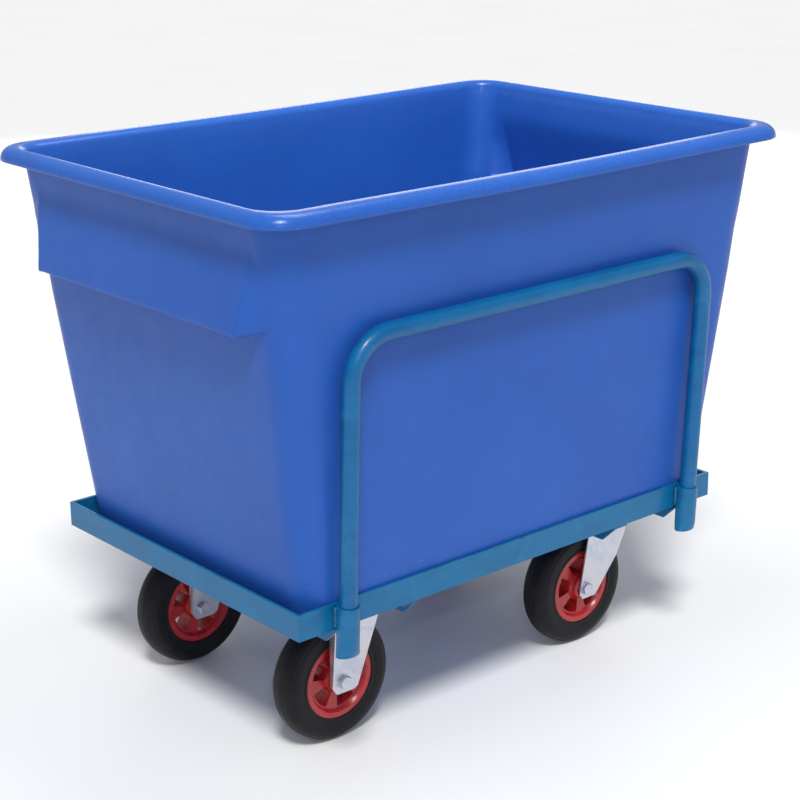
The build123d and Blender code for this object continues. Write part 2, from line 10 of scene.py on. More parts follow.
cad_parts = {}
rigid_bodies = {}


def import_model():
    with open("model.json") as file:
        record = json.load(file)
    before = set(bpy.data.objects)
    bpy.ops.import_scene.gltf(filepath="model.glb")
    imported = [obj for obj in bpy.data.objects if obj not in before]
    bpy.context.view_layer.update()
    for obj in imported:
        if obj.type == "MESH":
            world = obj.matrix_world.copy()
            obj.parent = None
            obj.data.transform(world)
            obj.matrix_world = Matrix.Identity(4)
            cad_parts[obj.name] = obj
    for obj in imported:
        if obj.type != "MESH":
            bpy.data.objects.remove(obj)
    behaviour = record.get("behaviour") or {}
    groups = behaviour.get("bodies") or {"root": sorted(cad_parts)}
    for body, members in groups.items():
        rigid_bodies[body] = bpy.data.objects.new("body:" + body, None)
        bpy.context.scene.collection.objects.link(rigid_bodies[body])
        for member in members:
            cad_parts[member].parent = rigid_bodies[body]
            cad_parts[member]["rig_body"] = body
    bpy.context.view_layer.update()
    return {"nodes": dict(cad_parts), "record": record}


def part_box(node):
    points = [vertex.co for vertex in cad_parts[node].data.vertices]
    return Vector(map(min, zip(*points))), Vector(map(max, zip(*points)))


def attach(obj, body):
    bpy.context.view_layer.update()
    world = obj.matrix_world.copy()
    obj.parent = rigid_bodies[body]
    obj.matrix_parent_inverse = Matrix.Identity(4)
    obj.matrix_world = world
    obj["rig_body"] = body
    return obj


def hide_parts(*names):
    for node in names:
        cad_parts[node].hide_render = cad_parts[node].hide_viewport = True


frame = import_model()
nodes = frame["nodes"]
casters = ("near_fixed", "far_fixed", "near_swivel", "far_swivel")


# Material tools
def start_material(name, **values):
    """Make a material and set the shader's plain values, given by socket name with underscores."""
    material = bpy.data.materials.new(name)
    material.use_nodes = True
    tree = material.node_tree
    shader = tree.nodes["Principled BSDF"]
    for socket, value in values.items():
        shader.inputs[socket.replace("_", " ")].default_value = value
    place = tree.nodes.new("ShaderNodeTexCoord").outputs["Object"]
    return material, tree, shader, place


def grain(tree, place, scale, detail=2.0, roughness=0.5, stretch=None, distortion=0.0):
    """A noise pattern in metres of the object, stretched along an axis if asked."""
    if stretch:
        mapping = tree.nodes.new("ShaderNodeMapping")
        mapping.inputs["Scale"].default_value = stretch
        tree.links.new(place, mapping.inputs["Vector"])
        place = mapping.outputs["Vector"]
    texture = tree.nodes.new("ShaderNodeTexNoise")
    texture.inputs["Scale"].default_value = scale
    texture.inputs["Detail"].default_value = detail
    texture.inputs["Roughness"].default_value = roughness
    texture.inputs["Distortion"].default_value = distortion
    tree.links.new(place, texture.inputs["Vector"])
    return texture.outputs["Fac"]


def graded(tree, factor, *stops):
    """Turn a factor into a colour or a grey through (position, colour) stops."""
    ramp = tree.nodes.new("ShaderNodeValToRGB")
    elements = ramp.color_ramp.elements
    while len(elements) < len(stops):
        elements.new(0.5)
    for element, (position, colour) in zip(elements, stops):
        element.position = position
        element.color = colour if len(colour) == 4 else (*colour, 1)
    tree.links.new(factor, ramp.inputs["Fac"])
    return ramp.outputs["Color"]


def grey(value):
    return (value, value, value, 1)


def blended(tree, factor, first, second, kind="MIX"):
    """Mix two colours, each a link or a plain colour."""
    mix = tree.nodes.new("ShaderNodeMix")
    mix.data_type = "RGBA"
    mix.blend_type = kind
    for socket, value in ((0, factor), (6, first), (7, second)):
        if isinstance(value, bpy.types.NodeSocket):
            tree.links.new(value, mix.inputs[socket])
        else:
            mix.inputs[socket].default_value = value
    return mix.outputs[2]


def product(tree, first, second, kind="MULTIPLY"):
    """Combine two numbers."""
    sum_node = tree.nodes.new("ShaderNodeMath")
    sum_node.operation = kind
    for socket, value in enumerate((first, second)):
        if isinstance(value, bpy.types.NodeSocket):
            tree.links.new(value, sum_node.inputs[socket])
        else:
            sum_node.inputs[socket].default_value = value
    return sum_node.outputs[0]


def height_band(tree, place, low, high, axis="Z"):
    """0 below low and 1 above high along an axis, or the other way round when low is greater."""
    split = tree.nodes.new("ShaderNodeSeparateXYZ")
    tree.links.new(place, split.inputs[0])
    band = tree.nodes.new("ShaderNodeMapRange")
    band.inputs["From Min"].default_value = low
    band.inputs["From Max"].default_value = high
    tree.links.new(split.outputs[axis], band.inputs["Value"])
    return band.outputs["Result"]


def relief(tree, shader, height, distance, strength=1.0, under=None):
    """Add a bump to a shader, over another bump if one is given."""
    bump = tree.nodes.new("ShaderNodeBump")
    bump.inputs["Distance"].default_value = distance
    bump.inputs["Strength"].default_value = strength
    tree.links.new(height, bump.inputs["Height"])
    if under:
        tree.links.new(under, bump.inputs["Normal"])
    tree.links.new(bump.outputs["Normal"], shader.inputs["Normal"])
    return bump.outputs["Normal"]


def tub_plastic():
    """Blue rotationally moulded polyethylene with a soft wax sheen and fine orange peel."""
    material, tree, shader, place = start_material("tub_polyethylene", Specular_IOR_Level=0.3)
    cloud = grain(tree, place, 5.0, 3.0)
    body = graded(tree, cloud, (0.3, (0.014, 0.088, 0.41)), (0.7, (0.018, 0.102, 0.45)))
    speck = graded(tree, grain(tree, place, 420.0, 2.0, 0.7), (0.42, grey(0.0)), (0.75, grey(0.28)))
    speck = product(tree, speck, height_band(tree, place, 0.80, 0.86))
    body = blended(tree, speck, body, (0.10, 0.24, 0.60, 1))
    scuff = grain(tree, place, 60.0, 6.0, 0.75, stretch=(1.0, 1.0, 5.0), distortion=0.6)
    scuff = graded(tree, scuff, (0.60, grey(0.0)), (0.70, grey(0.5)))
    scuff = product(tree, scuff, height_band(tree, place, 0.42, 0.30))
    body = blended(tree, scuff, body, (0.16, 0.22, 0.58, 1))
    tree.links.new(body, shader.inputs["Base Color"])
    rough = graded(tree, grain(tree, place, 35.0, 4.0, 0.6), (0.3, grey(0.36)), (0.7, grey(0.46)))
    rough = blended(tree, height_band(tree, place, 0.835, 0.85), rough, grey(0.24))
    tree.links.new(rough, shader.inputs["Roughness"])
    wave = relief(tree, shader, grain(tree, place, 16.0, 2.0), 0.004, 0.22)
    relief(tree, shader, grain(tree, place, 650.0, 3.0, 0.6), 0.00035, 0.35, under=wave)
    return material


def frame_enamel(name, low, high, chipped=True):
    """Brushed-on blue enamel over steel, with darker chips and rust along the top edges."""
    material, tree, shader, place = start_material(
        name, Specular_IOR_Level=0.3, Coat_Weight=0.12, Coat_Roughness=0.12
    )
    tone = grain(tree, place, 26.0, 4.0, 0.6, stretch=(0.5, 0.5, 1.6))
    body = graded(tree, tone, (0.3, low), (0.72, high))
    film = grain(tree, place, 11.0, 5.0, 0.7, distortion=1.2)
    film = graded(tree, film, (0.56, grey(0.0)), (0.72, grey(0.22)))
    body = blended(tree, film, body, (0.07, 0.27, 0.44, 1))
    if chipped:
        chip = grain(tree, place, 75.0, 3.0, 0.65)
        chip = graded(tree, chip, (0.655, grey(0.0)), (0.675, grey(1.0)))
        chip = product(tree, chip, height_band(tree, place, 0.2768, 0.2792))
        body = blended(tree, chip, body, (0.035, 0.028, 0.03, 1))
        fleck = grain(tree, place, 190.0, 3.0, 0.6)
        fleck = graded(tree, fleck, (0.71, grey(0.0)), (0.74, grey(0.8)))
        body = blended(tree, fleck, body, (0.012, 0.07, 0.13, 1))
    tree.links.new(body, shader.inputs["Base Color"])
    rough = graded(tree, tone, (0.3, grey(0.30)), (0.7, grey(0.42)))
    tree.links.new(rough, shader.inputs["Roughness"])
    runs = relief(tree, shader, grain(tree, place, 55.0, 2.0), 0.0012, 0.25)
    relief(tree, shader, grain(tree, place, 600.0, 2.0), 0.0002, 0.25, under=runs)
    return material


def weld_enamel():
    """The same enamel over a rough weld, with rust showing through."""
    material, tree, shader, place = start_material("weld_enamel", Specular_IOR_Level=0.5)
    spot = grain(tree, place, 240.0, 4.0, 0.65)
    body = graded(
        tree,
        spot,
        (0.40, (0.004, 0.13, 0.27)),
        (0.56, (0.01, 0.11, 0.22)),
        (0.62, (0.05, 0.03, 0.025)),
        (0.72, (0.09, 0.035, 0.02)),
    )
    tree.links.new(body, shader.inputs["Base Color"])
    rough = graded(tree, spot, (0.4, grey(0.35)), (0.65, grey(0.7)))
    tree.links.new(rough, shader.inputs["Roughness"])
    relief(tree, shader, grain(tree, place, 700.0, 3.0), 0.0006, 0.5)
    return material


def zinc_plate():
    """Bright zinc on pressed steel, clouded with bluish and yellowish passivation."""
    material, tree, shader, place = start_material("zinc_plating", Metallic=0.9)
    cloud = grain(tree, place, 34.0, 5.0, 0.65, distortion=0.8)
    body = graded(
        tree,
        cloud,
        (0.32, (0.52, 0.55, 0.66)),
        (0.50, (0.66, 0.67, 0.74)),
        (0.66, (0.72, 0.69, 0.66)),
    )
    stain = graded(tree, grain(tree, place, 120.0, 4.0, 0.7), (0.62, grey(0.0)), (0.72, grey(0.35)))
    body = blended(tree, stain, body, (0.34, 0.34, 0.36, 1))
    tree.links.new(body, shader.inputs["Base Color"])
    rough = graded(tree, cloud, (0.3, grey(0.34)), (0.7, grey(0.48)))
    tree.links.new(rough, shader.inputs["Roughness"])
    relief(tree, shader, grain(tree, place, 500.0, 3.0, stretch=(1, 1, 0.3)), 0.0002, 0.3)
    return material


def tyre_rubber():
    """Black rubber with a faint bloom and a fine grain in its surface."""
    material, tree, shader, place = start_material("tyre_rubber", Specular_IOR_Level=0.2)
    bloom = grain(tree, place, 30.0, 5.0, 0.7)
    body = graded(tree, bloom, (0.35, (0.006, 0.006, 0.008)), (0.75, (0.017, 0.016, 0.021)))
    tree.links.new(body, shader.inputs["Base Color"])
    rough = graded(tree, bloom, (0.3, grey(0.42)), (0.7, grey(0.60)))
    tree.links.new(rough, shader.inputs["Roughness"])
    relief(tree, shader, grain(tree, place, 900.0, 3.0, 0.6), 0.0002, 0.4)
    return material


def centre_plastic():
    """Glossy red moulded plastic."""
    material, tree, shader, place = start_material(
        "wheel_centre_red", Specular_IOR_Level=0.55, Coat_Weight=0.2, Coat_Roughness=0.15
    )
    tone = grain(tree, place, 40.0, 3.0)
    body = graded(tree, tone, (0.3, (0.42, 0.012, 0.016)), (0.7, (0.50, 0.018, 0.022)))
    tree.links.new(body, shader.inputs["Base Color"])
    rough = graded(tree, tone, (0.3, grey(0.24)), (0.7, grey(0.34)))
    tree.links.new(rough, shader.inputs["Roughness"])
    relief(tree, shader, grain(tree, place, 350.0, 2.0), 0.0002, 0.3)
    return material


def oiled_steel():
    """Grey bearing steel with an uneven film of oil."""
    material, tree, shader, place = start_material("oiled_steel", Metallic=1.0)
    film = grain(tree, place, 150.0, 4.0, 0.6)
    body = graded(tree, film, (0.35, (0.30, 0.30, 0.31)), (0.7, (0.52, 0.52, 0.53)))
    tree.links.new(body, shader.inputs["Base Color"])
    rough = graded(tree, film, (0.3, grey(0.22)), (0.7, grey(0.40)))
    tree.links.new(rough, shader.inputs["Roughness"])
    return material


def studio_floor():
    """The plain pale floor."""
    material, tree, shader, place = start_material("studio_floor", Specular_IOR_Level=0.2)
    tone = graded(tree, grain(tree, place, 2.0, 2.0), (0.3, grey(0.86)), (0.7, grey(0.88)))
    tree.links.new(tone, shader.inputs["Base Color"])
    shader.inputs["Roughness"].default_value = 0.8
    return material


finishes = {
    "tub_plastic": tub_plastic(),
    "frame_paint": frame_enamel("frame_enamel", (0.001, 0.110, 0.27), (0.003, 0.145, 0.33)),
    "hoop_paint": frame_enamel("hoop_enamel", (0.0, 0.095, 0.26), (0.0, 0.13, 0.34), False),
    "zinc_steel": zinc_plate(),
    "tyre_rubber": tyre_rubber(),
    "centre_plastic": centre_plastic(),
    "bearing_steel": oiled_steel(),
}
weld_finish = weld_enamel()


# Piece tools
def finished_piece(name, bm, body, slot, replaced=(), finish=None):
    """Turn a bmesh into a smooth-shaded piece that rides on a body and takes a record slot."""
    mesh = bpy.data.meshes.new(name)
    bm.to_mesh(mesh)
    bm.free()
    if "custom_normal" in mesh.attributes:
        mesh.attributes.remove(mesh.attributes["custom_normal"])
    mesh.materials.clear()
    mesh.materials.append(finish or finishes[slot])
    mesh.polygons.foreach_set("material_index", [0] * len(mesh.polygons))
    mesh.shade_smooth()
    piece = bpy.data.objects.new(name, mesh)
    bpy.context.scene.collection.objects.link(piece)
    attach(piece, body)
    if replaced:
        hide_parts(*replaced)
    return piece


def softened(name, sources, slot, width, angle=32.0, segments=2, join=1e-6, drop=None):
    """Copy CAD nodes as one skin, and round its sharp edges as paint, plating or a mould does."""
    bm = bmesh.new()
    for source in sources:
        bm.from_mesh(nodes[source].data)
    bmesh.ops.remove_doubles(bm, verts=bm.verts, dist=join)
    if drop:
        unseen = [face for face in bm.faces if drop(face)]
        bmesh.ops.delete(bm, geom=unseen, context="FACES")
        bmesh.ops.remove_doubles(bm, verts=bm.verts, dist=join)
    bmesh.ops.dissolve_limit(
        bm, angle_limit=math.radians(0.6), verts=bm.verts, edges=bm.edges, use_dissolve_boundaries=False
    )
    bmesh.ops.dissolve_degenerate(bm, dist=1e-6, edges=bm.edges)
    body = nodes[sources[0]]["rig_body"]
    piece = finished_piece(name, bm, body, slot, sources)
    rounding = piece.modifiers.new("edge rounding", "BEVEL")
    rounding.width = width
    rounding.segments = segments
    rounding.limit_method = "ANGLE"
    rounding.angle_limit = math.radians(angle)
    rounding.harden_normals = True
    return piece


# Tub, moulded in one piece: a ring of points is carried up the outside, over the rim and down inside
rail_top = 0.280
tub_floor = 0.245
wall = 0.006
rim_top = 0.864
foot_height = 0.684
corner_points = 12


def wall_size(height, inset=0.0):
    """Half length, half width and corner radius of the tapered wall at a height."""
    rise = height - rail_top
    return (
        0.421 + rise * 0.0685 / 0.555 - inset,
        0.2905 + rise * 0.0355 / 0.555 - inset,
        0.048 - inset,
    )


def soft_step(value, low, high):
    amount = min(1.0, max(0.0, (value - low) / (high - low)))
    return amount * amount * (3 - 2 * amount)


def soft_max(first, second, blend):
    """The larger of two numbers, rounded where they cross."""
    gap = first - second
    return (first + second + math.sqrt(gap * gap + blend * blend)) / 2


def shoulder_reach_at(across, height, inset):
    """How far the end shoulder reaches, a wedge that leaves the wall under the rim."""
    rise = height - foot_height
    reach = 0.5045 - 0.163 * rise - inset
    half_face = 0.2493 + 0.144 * rise - 0.5 * inset
    half_foot = max(0.2745 + 0.20 * rise, half_face + 0.012) - 0.5 * inset
    wall_there = wall_size(height, inset)[0] - 0.001
    over = (abs(across) - half_face) / (half_foot - half_face)
    depth = max(0.0, reach - wall_there)
    crown = 0.05 * depth * math.sin(math.pi * min(1.0, max(0.0, over)))
    return reach - max(0.0, over) * max(0.012, depth) - 0.03 * max(0.0, over - 0.9) ** 2 + crown


def column_codes(ring, half_length, half_width, radius):
    """Say where each point of the first ring is: on a side, on an end or in a corner."""
    codes = []
    for vertex in ring:
        x, y = vertex.co.x, vertex.co.y
        over_x = abs(x) - (half_length - radius)
        over_y = abs(y) - (half_width - radius)
        if over_x > 1e-6 and over_y > 1e-6:
            turn = math.atan2(over_y, over_x)
            codes.append(("corner", math.copysign(1, x), math.copysign(1, y), turn))
        elif over_x > 1e-6:
            codes.append(("end", math.copysign(1, x), y / (half_width - radius), 0.0))
        else:
            codes.append(("side", x / (half_length - radius), math.copysign(1, y), 0.0))
    return codes


def tub_point(code, half_length, half_width, radius, height, inset, ledge):
    """Place one point of a ring. Ledge is how much of the end shoulder stands out, or None."""
    kind, first, second, turn = code
    if kind == "corner":
        x = first * (half_length - radius + radius * math.cos(turn))
        y = second * (half_width - radius + radius * math.sin(turn))
    elif kind == "end":
        x = first * half_length
        y = second * (half_width - radius)
    else:
        x = first * (half_length - radius)
        y = second * half_width
    if ledge is not None and kind != "side":
        rise = 0.0075 * min(1.3, max(0.0, (abs(y) - 0.2493) / 0.026))
        rise -= 0.0012 * math.exp(-(((abs(y) - 0.2493) / 0.006) ** 2))
        height += rise * max(0.0, 1 - abs(height - foot_height - inset) / 0.05)
        if ledge > 0:
            face = soft_max(abs(x), shoulder_reach_at(y, height, inset), 0.0022) - 0.0004
            x = math.copysign(abs(x) + ledge * (max(face, abs(x)) - abs(x)), x)
        if ledge >= 1:
            along = (y + 0.035) / 0.031
            line = -0.035 + (0.780 - height) * 0.031 / 0.088
            crease = math.exp(-(((y - line) / 0.004) ** 2)) * soft_step(height, 0.69, 0.71)
            crease *= 1 - soft_step(height, 0.77, 0.79)
            if x < 0 and -0.5 < along < 1.6:
                x += 0.0005 * crease
    return Vector((x, y, height))


def moulded_wave(point, height, kind):
    """The slow unevenness of a moulded wall, in metres outwards."""
    fade = soft_step(height, 0.30, 0.40) * (1 - soft_step(height, 0.79, 0.83))
    sample = Vector((point.x * 4.5, point.y * 4.5, height * 3.5))
    return 0.0007 * fade * noise.noise(sample) * (0.5 if kind == "corner" else 1.0)


def end_column_places():
    """Half of the points across an end, closer together at the shoulder's flanks."""
    places = [0.0085 * step for step in range(27)]
    places += [0.2265, 0.2315, 0.2355, 0.239, 0.242, 0.2447, 0.2472, 0.2497, 0.2523, 0.255, 0.258, 0.2615, 0.2655, 0.2695]
    return places


def tub_rings():
    """Every ring from the middle of the outer floor to the middle of the inner floor."""
    rings = []
    for step in range(6):
        turn = math.radians(90 * step / 5)
        height = tub_floor + 0.018 * (1 - math.cos(turn))
        size = wall_size(height)
        pull = 0.018 * (1 - math.sin(turn))
        rings.append((size[0] - pull, size[1] - pull, size[2] - pull, height, 0.0, None))
    for height in (0.28, 0.30, 0.325, 0.35, 0.38, 0.41, 0.44, 0.47, 0.50, 0.53, 0.56, 0.59, 0.61):
        rings.append((*wall_size(height), height, 0.0, None))
    for height in (0.628, 0.644, 0.657, 0.667, 0.674, 0.6785, 0.6815, 0.6832):
        rings.append((*wall_size(height), height, 0.0, 0.0))
    ledge = (
        (0.6836, 0.04),
        (0.6838, 0.14),
        (0.6839, 0.38),
        (0.6840, 0.64),
        (0.6842, 0.86),
        (0.6848, 0.945),
        (0.6859, 0.985),
    )
    for height, share in ledge:
        rings.append((*wall_size(height), height, 0.0, share))
    for step in range(22):
        height = 0.6878 + 0.1582 * (step / 21) ** 1.15
        rings.append((*wall_size(height), height, 0.0, 1.0))
    half_length, half_width, radius = wall_size(0.8515)
    for step in range(5):
        turn = math.radians(90 * step / 4)
        out = 0.0065 * (1 - math.cos(turn))
        height = 0.8515 + 0.0065 * math.sin(turn)
        rings.append((half_length + out, half_width + out, radius + out, height, 0.0, None))
    lip = (0.519, 0.3605, 0.062)
    for step in range(6):
        turn = math.radians(90 * step / 5)
        pull = 0.006 + 0.013 * (1 - math.sin(turn))
        height = 0.845 + 0.013 * math.cos(turn)
        rings.append((lip[0] - pull, lip[1] - pull, lip[2] - pull, height, 0.0, None))
    for pull, height in ((0.0055, 0.8443), (0.0040, 0.8440), (0.0018, 0.8440), (0.0005, 0.8446)):
        rings.append((lip[0] - pull, lip[1] - pull, lip[2] - pull, height, 0.0, None))
    for step in range(11):
        turn = math.radians(90 * step / 10)
        pull = 0.019 * (1 - math.cos(turn))
        height = 0.845 + 0.019 * math.sin(turn)
        rings.append((lip[0] - pull, lip[1] - pull, lip[2] - pull, height, 0.0, None))
    half_length, half_width, radius = wall_size(rim_top, wall)
    half_length += 0.012
    half_width += 0.012
    radius += 0.012
    for step in range(9):
        turn = math.radians(90 * step / 8)
        pull = 0.012 * math.sin(turn)
        height = rim_top - 0.012 * (1 - math.cos(turn))
        if step == 0:
            half_gap = ((0.519 - 0.019 - half_length), (0.3605 - 0.019 - half_width))
            if min(half_gap) < 0.0008:
                continue
        rings.append((half_length - pull, half_width - pull, radius - pull, height, 0.0, None))
    for step in range(16):
        height = 0.6965 + 0.1495 * ((15 - step) / 15) ** 1.1
        rings.append((*wall_size(height, wall), height, wall, 1.0))
    ledge = ((0.6922, 0.985), (0.6911, 0.93), (0.6904, 0.82), (0.6901, 0.60), (0.6899, 0.22), (0.6896, 0.06))
    for height, share in ledge:
        rings.append((*wall_size(height, wall), height, wall, share))
    for height in (0.689, 0.685, 0.679, 0.671, 0.659, 0.644, 0.628):
        rings.append((*wall_size(height, wall), height, wall, 0.0))
    for height in (0.61, 0.585, 0.56, 0.53, 0.50, 0.47, 0.44, 0.41, 0.38, 0.35, 0.325, 0.30, 0.28):
        rings.append((*wall_size(height, wall), height, wall, None))
    for step in range(5):
        turn = math.radians(90 * step / 4)
        height = tub_floor + wall + 0.012 * (1 - math.sin(turn))
        size = wall_size(height, wall)
        pull = 0.012 * (1 - math.cos(turn))
        rings.append((size[0] - pull, size[1] - pull, size[2] - pull, height, wall, None))
    return rings


def tub():
    """Carry a rounded rectangle through all the rings, then close both floors."""
    rings = tub_rings()
    half_length, half_width, radius = 0.42, 0.29, 0.03
    bm = bmesh.new()
    corners = [
        bm.verts.new((side * half_length, across * half_width, 0))
        for side, across in ((-1, -1), (1, -1), (1, 1), (-1, 1))
    ]
    bm.faces.new(corners)
    bmesh.ops.bevel(
        bm, geom=corners, offset=radius, affect="VERTICES", segments=corner_points, profile=0.5, material=-1
    )
    bmesh.ops.delete(bm, geom=list(bm.faces), context="FACES_ONLY")
    long_edges = [edge for edge in bm.edges if edge.calc_length() > 0.1]
    places = end_column_places()
    end_edges = [edge for edge in long_edges if abs(edge.verts[0].co.x - edge.verts[1].co.x) < 0.01]
    side_edges = [edge for edge in long_edges if edge not in end_edges]
    bmesh.ops.subdivide_edges(bm, edges=end_edges, cuts=2 * len(places) - 1)
    bmesh.ops.subdivide_edges(bm, edges=side_edges, cuts=56)
    for side in (-1, 1):
        column = [v for v in bm.verts if abs(v.co.x - side * half_length) < 1e-5]
        column = sorted(column, key=lambda v: v.co.y)[1:-1]
        spread = [-place for place in reversed(places[1:])] + places
        for vertex, place in zip(column, spread):
            vertex.co.y = place * (half_width - radius) / 0.2735
    bm.verts.index_update()
    ring = list(bm.verts)
    codes = column_codes(ring, half_length, half_width, radius)
    layer = bm.verts.layers.int.new("column")
    for index, vertex in enumerate(bm.verts):
        vertex[layer] = index
    edges = list(bm.edges)
    first_edges = list(bm.edges)
    for number, (length, width, corner, height, inset, ledge) in enumerate(rings):
        if number:
            made = bmesh.ops.extrude_edge_only(bm, edges=edges)["geom"]
            edges = [part for part in made if isinstance(part, bmesh.types.BMEdge)]
        points = {vertex for edge in edges for vertex in edge.verts}
        for vertex in points:
            code = codes[vertex[layer]]
            place = tub_point(code, length, width, corner, height, inset, ledge)
            outwards = Vector((place.x / 0.62, place.y / 0.4, 0))
            if code[0] == "end":
                outwards = Vector((math.copysign(1, place.x), 0, 0))
            elif code[0] == "side":
                outwards = Vector((0, math.copysign(1, place.y), 0))
            else:
                outwards.normalize()
            place += outwards * moulded_wave(place, height, code[0])
            if height > 0.80:
                sag = math.cos(math.pi / 2 * min(1.0, abs(place.x) / 0.50)) ** 2
                share = soft_step(height, 0.80, 0.845) * soft_step(abs(place.y), 0.20, 0.30)
                place.z -= 0.0026 * sag * share
            vertex.co = place
    inner_fill = bmesh.ops.edgeloop_fill(bm, edges=edges)["faces"]
    outer_fill = bmesh.ops.edgeloop_fill(bm, edges=first_edges)["faces"]
    bmesh.ops.inset_region(bm, faces=inner_fill + outer_fill, thickness=0.02)
    bmesh.ops.recalc_face_normals(bm, faces=bm.faces)
    return finished_piece("moulded_tub", bm, "tub", "tub_plastic", ["tub_shell"])


tub()


# Welded frame: the four rails become one skin, so that the mitres close
def on_mitre(face):
    """True for the end faces of two rails that meet in a corner."""
    normal = face.normal
    return abs(normal.z) < 0.1 and abs(abs(normal.x) - 0.7071) < 0.02 and face.calc_area() > 2e-7


rails = ("near_side_rail", "far_side_rail", "left_end_rail", "right_end_rail")
softened("frame_rails", rails, "frame_paint", 0.0009, join=2e-5, drop=on_mitre)
for name in ("left_outer", "left_inner", "right_inner", "right_outer"):
    softened(name + "_bar", [name + "_crossmember"], "frame_paint", 0.0007)
for side in ("left", "right"):
    softened(side + "_socket_tube", [side + "_handle_socket"], "frame_paint", 0.0009)


def weld_bead(name, start, end, radius, seed, body="frame"):
    """Lay a rippled bead along a joint, made of rings whose size follows the puddles."""
    start, end = Vector(start), Vector(end)
    run = end - start
    steps = max(8, int(run.length / 0.0009))
    turn = run.to_track_quat("Z", "Y").to_matrix().to_4x4()
    bm = bmesh.new()
    layer = bm.verts.layers.int.new("around")
    made = bmesh.ops.create_circle(
        bm, cap_ends=True, segments=12, radius=1.0, matrix=Matrix.Translation(start) @ turn
    )
    for index, vertex in enumerate(made["verts"]):
        vertex[layer] = index
    edges = list(bm.edges)
    for step in range(steps + 1):
        if step:
            geom = bmesh.ops.extrude_edge_only(bm, edges=edges)["geom"]
            edges = [part for part in geom if isinstance(part, bmesh.types.BMEdge)]
        share = step / steps
        middle = start + run * share
        ripple = 0.90 + 0.12 * abs(math.sin(share * run.length / 0.0021 * math.pi + seed))
        close = math.sqrt(max(0.06, 1 - abs(2 * share - 1) ** 6))
        for vertex in {vertex for edge in edges for vertex in edge.verts}:
            angle = 2 * math.pi * vertex[layer] / 12
            lump = 1 + 0.22 * noise.noise(Vector((seed * 3.1 + share * 7, math.cos(angle), math.sin(angle))))
            reach = radius * ripple * close * lump
            out = turn @ Vector((math.cos(angle), math.sin(angle), 0))
            vertex.co = middle + out.to_3d() * reach
    bmesh.ops.edgeloop_fill(bm, edges=edges)
    bmesh.ops.recalc_face_normals(bm, faces=bm.faces)
    return finished_piece(name, bm, body, "frame_paint", finish=weld_finish)


near_face = -0.297
for side, x in (("left", -0.369), ("right", 0.353)):
    for hand in (-1, 1):
        label = side + "_socket_weld_" + ("a" if hand < 0 else "b")
        weld_bead(
            label,
            (x + hand * 0.0115, near_face - 0.0035, 0.2445),
            (x + hand * 0.0115, near_face - 0.0042, 0.2765),
            0.0034,
            x * 20 + hand,
        )


# Push hoop: a tube bent twice, a little flattened in the bends
hoop_radius = 0.01345
bend_radius = 0.065
leg_span = 0.361
frame_middle = -0.008
lean = math.radians(2.5)
seat_y = near_face - 0.0169 - 0.04 * math.tan(lean)
hoop_height = 0.394 / math.cos(lean)
seat_depth = 0.06


def hoop_place(x, up):
    """A point of the hoop's middle line, given along its own leaning plane."""
    return Vector((frame_middle + x, seat_y - up * math.sin(lean), rail_top + up * math.cos(lean)))


def push_hoop():
    """Extrude and spin a circle along the hoop, then press its bends."""
    bm = bmesh.new()
    up = Vector((0, -math.sin(lean), math.cos(lean)))
    facing = Matrix.Translation(hoop_place(-leg_span, -seat_depth)) @ Matrix.Rotation(lean, 4, "X")
    bmesh.ops.create_circle(bm, cap_ends=False, segments=36, radius=hoop_radius, matrix=facing)
    first = list(bm.edges)
    edges = first

    def along(edges, direction, length, steps):
        for step in range(steps):
            geom = bmesh.ops.extrude_edge_only(bm, edges=edges)["geom"]
            edges = [part for part in geom if isinstance(part, bmesh.types.BMEdge)]
            points = list({vertex for edge in edges for vertex in edge.verts})
            bmesh.ops.translate(bm, verts=points, vec=direction * (length / steps))
        return edges

    def around(edges, centre, steps):
        axis = up.cross(Vector((1, 0, 0)))
        done = bmesh.ops.spin(
            bm, geom=edges, cent=centre, axis=axis, angle=math.pi / 2, steps=steps, use_merge=False
        )["geom_last"]
        return [part for part in done if isinstance(part, bmesh.types.BMEdge)]

    straight = seat_depth + hoop_height - bend_radius
    edges = along(edges, up, straight, 24)
    edges = around(edges, hoop_place(-leg_span + bend_radius, hoop_height - bend_radius), 20)
    edges = along(edges, Vector((1, 0, 0)), 2 * (leg_span - bend_radius), 30)
    edges = around(edges, hoop_place(leg_span - bend_radius, hoop_height - bend_radius), 20)
    edges = along(edges, -up, straight, 24)
    bmesh.ops.edgeloop_fill(bm, edges=edges)
    bmesh.ops.edgeloop_fill(bm, edges=first)
    for side in (-1, 1):
        centre = hoop_place(side * (leg_span - bend_radius), hoop_height - bend_radius)
        for vertex in bm.verts:
            offset = vertex.co - centre
            x, rise = side * offset.x, offset.dot(up)
            if x <= 0 or rise <= 0:
                continue
            reach = math.hypot(x, rise)
            turn = math.degrees(math.atan2(rise, x))
            press = soft_step(turn, 0, 22) * (1 - soft_step(turn, 68, 90))
            inside = soft_step(bend_radius + 0.004 - reach, 0.0, 0.014)
            shrink = -0.0005 * press * (reach - bend_radius) / hoop_radius
            if side < 0:
                dent = 0.0011 * math.exp(-(((turn - 30) / 7) ** 2)) * inside
            else:
                dent = 0.0009 * inside * (
                    math.exp(-(((turn - 62) / 5) ** 2)) + 0.8 * math.exp(-(((turn - 44) / 5) ** 2))
                )
            push = (shrink + dent) / reach
            vertex.co += Vector((side * x * push, 0, 0)) + up * rise * push
    bmesh.ops.recalc_face_normals(bm, faces=bm.faces)
    return finished_piece("push_hoop", bm, "hoop", "hoop_paint", ["handle_hoop"])


push_hoop()


